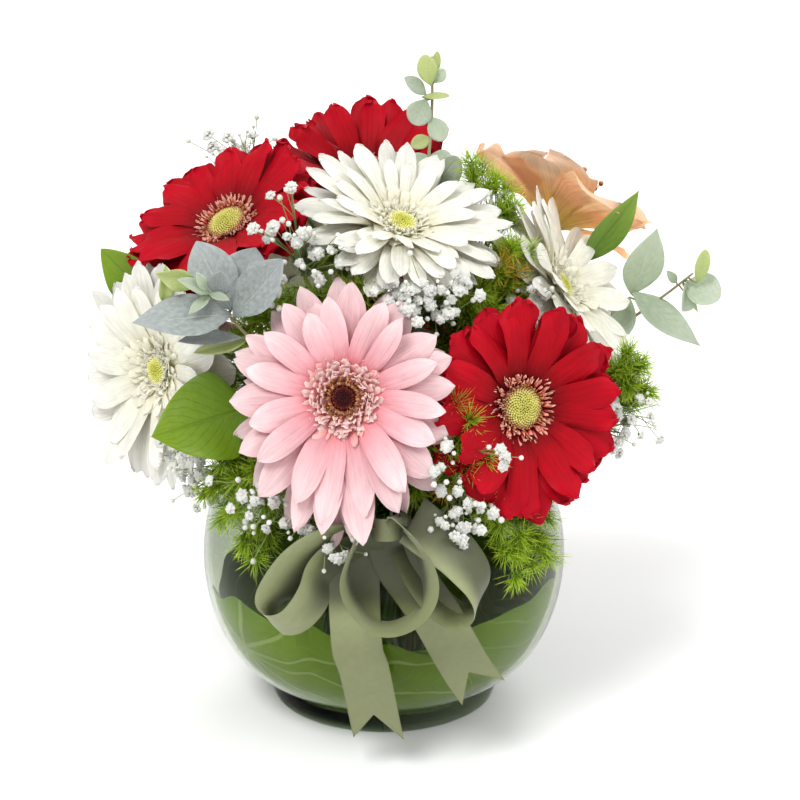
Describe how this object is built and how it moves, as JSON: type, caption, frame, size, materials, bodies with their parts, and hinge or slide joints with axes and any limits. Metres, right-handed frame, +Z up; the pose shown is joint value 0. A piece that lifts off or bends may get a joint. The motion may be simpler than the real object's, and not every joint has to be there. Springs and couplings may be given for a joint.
{
  "type": "gerberas in a round glass vase",
  "caption": "Dome bouquet of gerberas with eucalyptus, fern and baby's breath in a round footed glass bowl lined with leaves, with a ribbon bow in front.",
  "frame": {"origin": "centre of the underside of the vase's foot", "axes": "+Z up; the front of the bouquet, with the ribbon bow, faces -Y; +X to the right seen from the front"},
  "size_m": [0.3303, 0.2704, 0.3338],
  "materials": {
    "vase_glass": "clear polished glass",
    "lining_leaf": "smooth waxy green leaf with pale parallel veins",
    "tie_raffia": "matt raffia",
    "petal_red": "velvety crimson petal",
    "petal_pink": "soft pale pink petal",
    "petal_white": "soft creamy white petal",
    "petal_peach": "soft peach petal, yellower at the base",
    "eucalyptus_leaf": "powdery blue-grey leaf",
    "broad_leaf": "semi-gloss bright green leaf",
    "fern_green": "fine feathery green needles",
    "gypsophila_white": "tiny white double flowers",
    "ribbon_satin": "sage green satin",
    "wire_green": "green florist's wire"
  },
  "bodies": {
    "root": {"glass_vase": "vase_glass", "lining_leaf_front": "lining_leaf", "lining_leaf_right": "lining_leaf", "lining_leaf_left": "lining_leaf", "stem_tie": "tie_raffia", "gerbera_pink_front": "petal_pink", "gerbera_red_front": "petal_red", "gerbera_white_left": "petal_white", "gerbera_red_left": "petal_red", "gerbera_white_top": "petal_white", "gerbera_red_top": "petal_red", "gerbera_white_right": "petal_white", "gerbera_pink_back": "petal_pink", "gerbera_white_back": "petal_white", "gerbera_red_back": "petal_red", "alstroemeria_peach": "petal_peach", "eucalyptus_left": "eucalyptus_leaf", "eucalyptus_top": "eucalyptus_leaf", "eucalyptus_right": "eucalyptus_leaf", "eucalyptus_back": "eucalyptus_leaf", "broad_leaf_front_left": "broad_leaf", "broad_leaf_left": "broad_leaf", "broad_leaf_right": "broad_leaf", "broad_leaf_inner_right": "broad_leaf", "broad_leaf_back_left": "broad_leaf", "broad_leaf_back": "broad_leaf", "broad_leaf_back_right": "broad_leaf", "fern_right": "fern_green", "fern_front_right": "fern_green", "fern_front_left": "fern_green", "fern_front": "fern_green", "fern_top_left": "fern_green", "fern_top_right": "fern_green", "fern_back_left": "fern_green", "fern_back_right": "fern_green", "gypsophila_top_left": "gypsophila_white", "gypsophila_top": "gypsophila_white", "gypsophila_front_right": "gypsophila_white", "gypsophila_front_left": "gypsophila_white", "gypsophila_left": "gypsophila_white", "gypsophila_right": "gypsophila_white", "gypsophila_top_back": "gypsophila_white", "gypsophila_back_left": "gypsophila_white", "gypsophila_back_right": "gypsophila_white", "ribbon_bow": "ribbon_satin", "bow_wire": "wire_green"}
  },
  "joints": []
}
